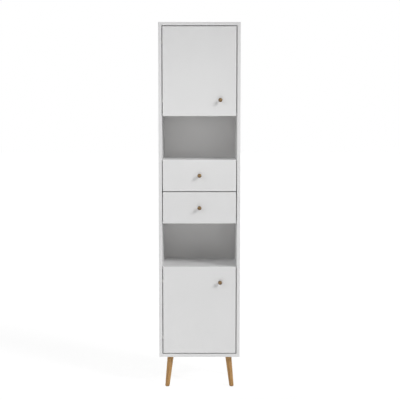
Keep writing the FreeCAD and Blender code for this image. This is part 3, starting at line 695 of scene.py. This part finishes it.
def solids_in(node):
    """The points of each separate solid in a node, in the order of their places."""
    mesh = bmesh.new()
    mesh.from_mesh(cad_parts[node].data)
    bmesh.ops.remove_doubles(mesh, verts=mesh.verts, dist=same_point)
    waiting = set(mesh.verts)
    solids = []
    for first in mesh.verts:
        if first not in waiting:
            continue
        waiting.remove(first)
        solid = [first]
        for vertex in solid:
            for edge in vertex.link_edges:
                other = edge.other_vert(vertex)
                if other in waiting:
                    waiting.remove(other)
                    solid.append(other)
        solids.append([vertex.co.copy() for vertex in solid])
    mesh.free()
    return sorted(solids, key=rounded_place)


print("rail screws in the frame:", len(solids_in("drawer_rail_screws")))

# %% [markdown]
# ## One screw, measured
# A screw is drawn from a few values: where its head is seated, which way it points out, and how wide and
# long its head and shank are. They could be typed in, but then the threaded screws would stay behind when a
# solid changes. They are read from the points instead: the long way of its box is the screw's line, its
# widest points are the rim of the head, and the head's end is the outer one.

# %% Measure one screw
rim_share = 0.98
shank_share = 0.7
axes = range(3)


def measure_screw(points):
    """Seat, outward direction, head diameter and height, shank diameter and length of one screw."""
    low = Vector(min(point[axis] for point in points) for axis in axes)
    high = Vector(max(point[axis] for point in points) for axis in axes)
    middle = (low + high) / 2
    long_way = max(axes, key=lambda axis: high[axis] - low[axis])
    out = Vector(1.0 if axis == long_way else 0.0 for axis in axes)

    def width(point):
        across = point - middle
        return (across - across.project(out)).length

    head = max(width(point) for point in points)
    rim = [point for point in points if width(point) > rim_share * head]
    if sum((point - middle).dot(out) for point in rim) < 0:
        out = -out
    inner = [point for point in points if (point - middle).dot(out) < 0]
    shank = max(width(point) for point in inner if width(point) < shank_share * head)
    seat = min((point - middle).dot(out) for point in rim)
    reach = max((point - middle).dot(out) for point in points)
    return {"seat": middle + out * seat, "out": out, "head": 2 * head, "height": reach - seat,
            "shank": 2 * shank, "length": reach + seat}


print("one rail screw:", measure_screw(solids_in("drawer_rail_screws")[0]))

# %% [markdown]
# ## Cross-head screws
# A wood screw has a round head with a crossed recess, a core, a thread that winds round it, and a point.
# Dozens of them are alike, so instead of modelling each, the tree makes one screw from its sizes and sets
# it on every point of a starting mesh. The screw stands on its seat at the origin, head up, point down.

# %% Rule: helpers in the screw's own tree
driving, given = rule("cross_head_screws", Head="Float", Height="Float", Shank="Float", Length="Float",
                      Pitch="Float", Point="Float", Seed="Int", Finish="Material")


def figure(operation, first, second):
    """One sum in the screw's tree."""
    return add(driving, "ShaderNodeMath", {0: first, 1: second}, operation=operation).outputs[0]


def moved(geometry, height):
    """Geometry moved along the screw's line."""
    shift = add(driving, "ShaderNodeCombineXYZ", {"Z": height}).outputs[0]
    return add(driving, "GeometryNodeTransform", {"Geometry": geometry, "Translation": shift}).outputs[0]


def narrowed(geometry, share):
    """Geometry drawn in towards the screw's line by a share at each point."""
    way = add(driving, "ShaderNodeCombineXYZ", {"X": share, "Y": share, "Z": 1.0}).outputs[0]
    place = add(driving, "GeometryNodeInputPosition").outputs[0]
    drawn = add(driving, "ShaderNodeVectorMath", {0: place, 1: way}, operation="MULTIPLY").outputs[0]
    return add(driving, "GeometryNodeSetPosition", {"Geometry": geometry, "Position": drawn}).outputs[0]


here = add(driving, "GeometryNodeInputPosition").outputs[0]
level = add(driving, "ShaderNodeSeparateXYZ", {0: here}).outputs["Z"]
print("screw rule takes", [socket.name for socket in given if socket.name])

# %% [markdown]
# ## The head
# The head is a low cylinder whose upper rings are drawn in, so that its edge is round. A driver's cross
# could be a dark mark in the finish, but a real recess catches the light, so two bars are cut out of the
# head, one after the other, the second a touch less deep so that their floors don't lie in one plane.

# %% Rule: head with a cross
head_sides, head_rings = 24, 4
crown_share, crown_power = 0.25, 3.0
cross_long_share, cross_wide_share = 0.56, 0.13
cross_deep_shares = (1.3, 1.24)

half_head = figure("DIVIDE", given["Head"], 2.0)
half_height = figure("DIVIDE", given["Height"], 2.0)
cap = add(driving, "GeometryNodeMeshCylinder",
          {"Vertices": head_sides, "Side Segments": head_rings,
           "Radius": half_head, "Depth": given["Height"]}).outputs["Mesh"]
cap = moved(cap, half_height)
crown = figure("POWER", figure("DIVIDE", level, given["Height"]), crown_power)
cap = narrowed(cap, figure("SUBTRACT", 1.0, figure("MULTIPLY", crown, crown_share)))
cross_long = figure("MULTIPLY", given["Head"], cross_long_share)
cross_wide = figure("MULTIPLY", given["Head"], cross_wide_share)
for (across, along), deep in zip(((cross_long, cross_wide), (cross_wide, cross_long)), cross_deep_shares):
    cross_deep = figure("MULTIPLY", given["Height"], deep)
    size = add(driving, "ShaderNodeCombineXYZ", {"X": across, "Y": along, "Z": cross_deep}).outputs[0]
    bar = moved(add(driving, "GeometryNodeMeshCube", {"Size": size}).outputs["Mesh"], given["Height"])
    cap = add(driving, "GeometryNodeMeshBoolean", {"Mesh 1": cap, "Mesh 2": bar},
              operation="DIFFERENCE", solver="EXACT").outputs["Mesh"]
print("head cut by", len(cross_deep_shares), "bars")

# %% [markdown]
# ## The shank and its thread
# The core is a slim cylinder that narrows to the point. The thread is a three-sided ridge swept along a
# spiral, as many turns as its pitch gives. It could be cut into the core, but a screw's thread stands
# out from it: the ridge is a shape of its own, half sunk in the core, and its edge reaches as far
# as the plain screw is wide.

# %% Rule: core and thread
core_sides, core_rings = 12, 10
core_share, ridge_share, tip_share = 0.36, 0.14, 0.12
ridge_sides = 3
thread_start_share = 0.9
turn_points = 12

core = figure("MULTIPLY", given["Shank"], core_share)
shaft = add(driving, "GeometryNodeMeshCylinder",
            {"Vertices": core_sides, "Side Segments": core_rings,
             "Radius": core, "Depth": given["Length"]}).outputs["Mesh"]
shaft = moved(shaft, figure("DIVIDE", given["Length"], -2.0))
from_tip = figure("ADD", level, given["Length"])
taper = add(driving, "ShaderNodeMapRange",
            {"Value": from_tip, "From Max": given["Point"], "To Min": tip_share}).outputs["Result"]
shaft = narrowed(shaft, taper)
threaded = figure("SUBTRACT", given["Length"], given["Point"])
turns = figure("DIVIDE", threaded, given["Pitch"])
thread_start = figure("MULTIPLY", core, thread_start_share)
winding = add(driving, "GeometryNodeCurveSpiral",
              {"Resolution": turn_points, "Rotations": turns, "Start Radius": thread_start,
               "End Radius": core, "Height": threaded}).outputs[0]
ridge_radius = figure("MULTIPLY", given["Shank"], ridge_share)
ridge = add(driving, "GeometryNodeCurvePrimitiveCircle",
            {"Resolution": ridge_sides, "Radius": ridge_radius}).outputs[0]
thread = add(driving, "GeometryNodeCurveToMesh",
             {"Curve": winding, "Profile Curve": ridge, "Fill Caps": True}).outputs[0]
thread = moved(thread, figure("MULTIPLY", threaded, -1.0))
print("thread of", turn_points, "points to a turn")

# %% [markdown]
# ## One screw on every point
# Head, core and thread are joined and set on the points. Each point carries the outward direction of its
# screw. The crosses could all stand alike, but no one lines up the crosses of a drawer rail, so a
# fixed seed turns each a little differently.

# %% Rule: drive a screw at each point
half_turn = (0, 0, pi)
screw = add(driving, "GeometryNodeJoinGeometry")
for part in (thread, shaft, cap):
    driving.links.new(part, screw.inputs[0])
out = add(driving, "GeometryNodeInputNamedAttribute", {"Name": "outward"},
          data_type="FLOAT_VECTOR").outputs["Attribute"]
stand = add(driving, "FunctionNodeAlignRotationToVector", {"Vector": out}, axis="Z").outputs[0]
driven = add(driving, "GeometryNodeInstanceOnPoints",
             {"Points": given["Geometry"], "Instance": screw.outputs[0], "Rotation": stand}).outputs[0]
spin = add(driving, "FunctionNodeRandomValue", {"Seed": given["Seed"], "Max": half_turn},
           data_type="FLOAT_VECTOR").outputs[0]
driven = add(driving, "GeometryNodeRotateInstances", {"Instances": driven, "Rotation": spin}).outputs[0]
end_rule(driving, driven, given["Finish"])

# %% [markdown]
# ## The screws in their places
# Wood screws with a coarse thread hold the hinge arms, rails, leg plates and wall bracket, shorter ones
# hold the hinge cups, and each knob has a machine screw with a fine thread and a blunt end. Each group
# needs only its measured places and sizes, a pitch and a point. It becomes one mesh, takes the place of
# its plain node and rides on the same body.

# %% Drive the screws
wood_pitch, machine_pitch = 1.4 * millimetre, 0.7 * millimetre
wood_point, cup_point, machine_point = 4.0 * millimetre, 3.5 * millimetre, 0.5 * millimetre
cross_seed = 7


def drive(node, body, pitch, point):
    """Threaded screws in the place of a node's plain ones."""
    screws = [measure_screw(points) for points in solids_in(node)]
    mesh = bpy.data.meshes.new(node + "_places")
    mesh.from_pydata([each["seat"] for each in screws], [], [])
    outward = mesh.attributes.new("outward", "FLOAT_VECTOR", "POINT")
    for place, each in zip(outward.data, screws):
        place.vector = each["out"]
    one = screws[0]
    piece = follow(driving, node + "_threaded", mesh, Head=one["head"], Height=one["height"],
                   Shank=one["shank"], Length=one["length"], Pitch=pitch, Point=point,
                   Seed=cross_seed, Finish=screw_steel)
    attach(piece, body)
    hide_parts(node)
    print(piece.name, ":", len(screws), "screws,", len(piece.data.polygons), "faces")


for node in ("hinge_arm_screws", "drawer_rail_screws", "leg_plate_screws", "wall_bracket_screws"):
    drive(node, "carcass", wood_pitch, wood_point)
for body in ("upper_door", "lower_door"):
    drive(body + "_cup_screws", body, wood_pitch, cup_point)
for body in ("upper_door", "lower_door", "upper_drawer", "lower_drawer"):
    drive(body + "_knob_screw", body, machine_pitch, machine_point)
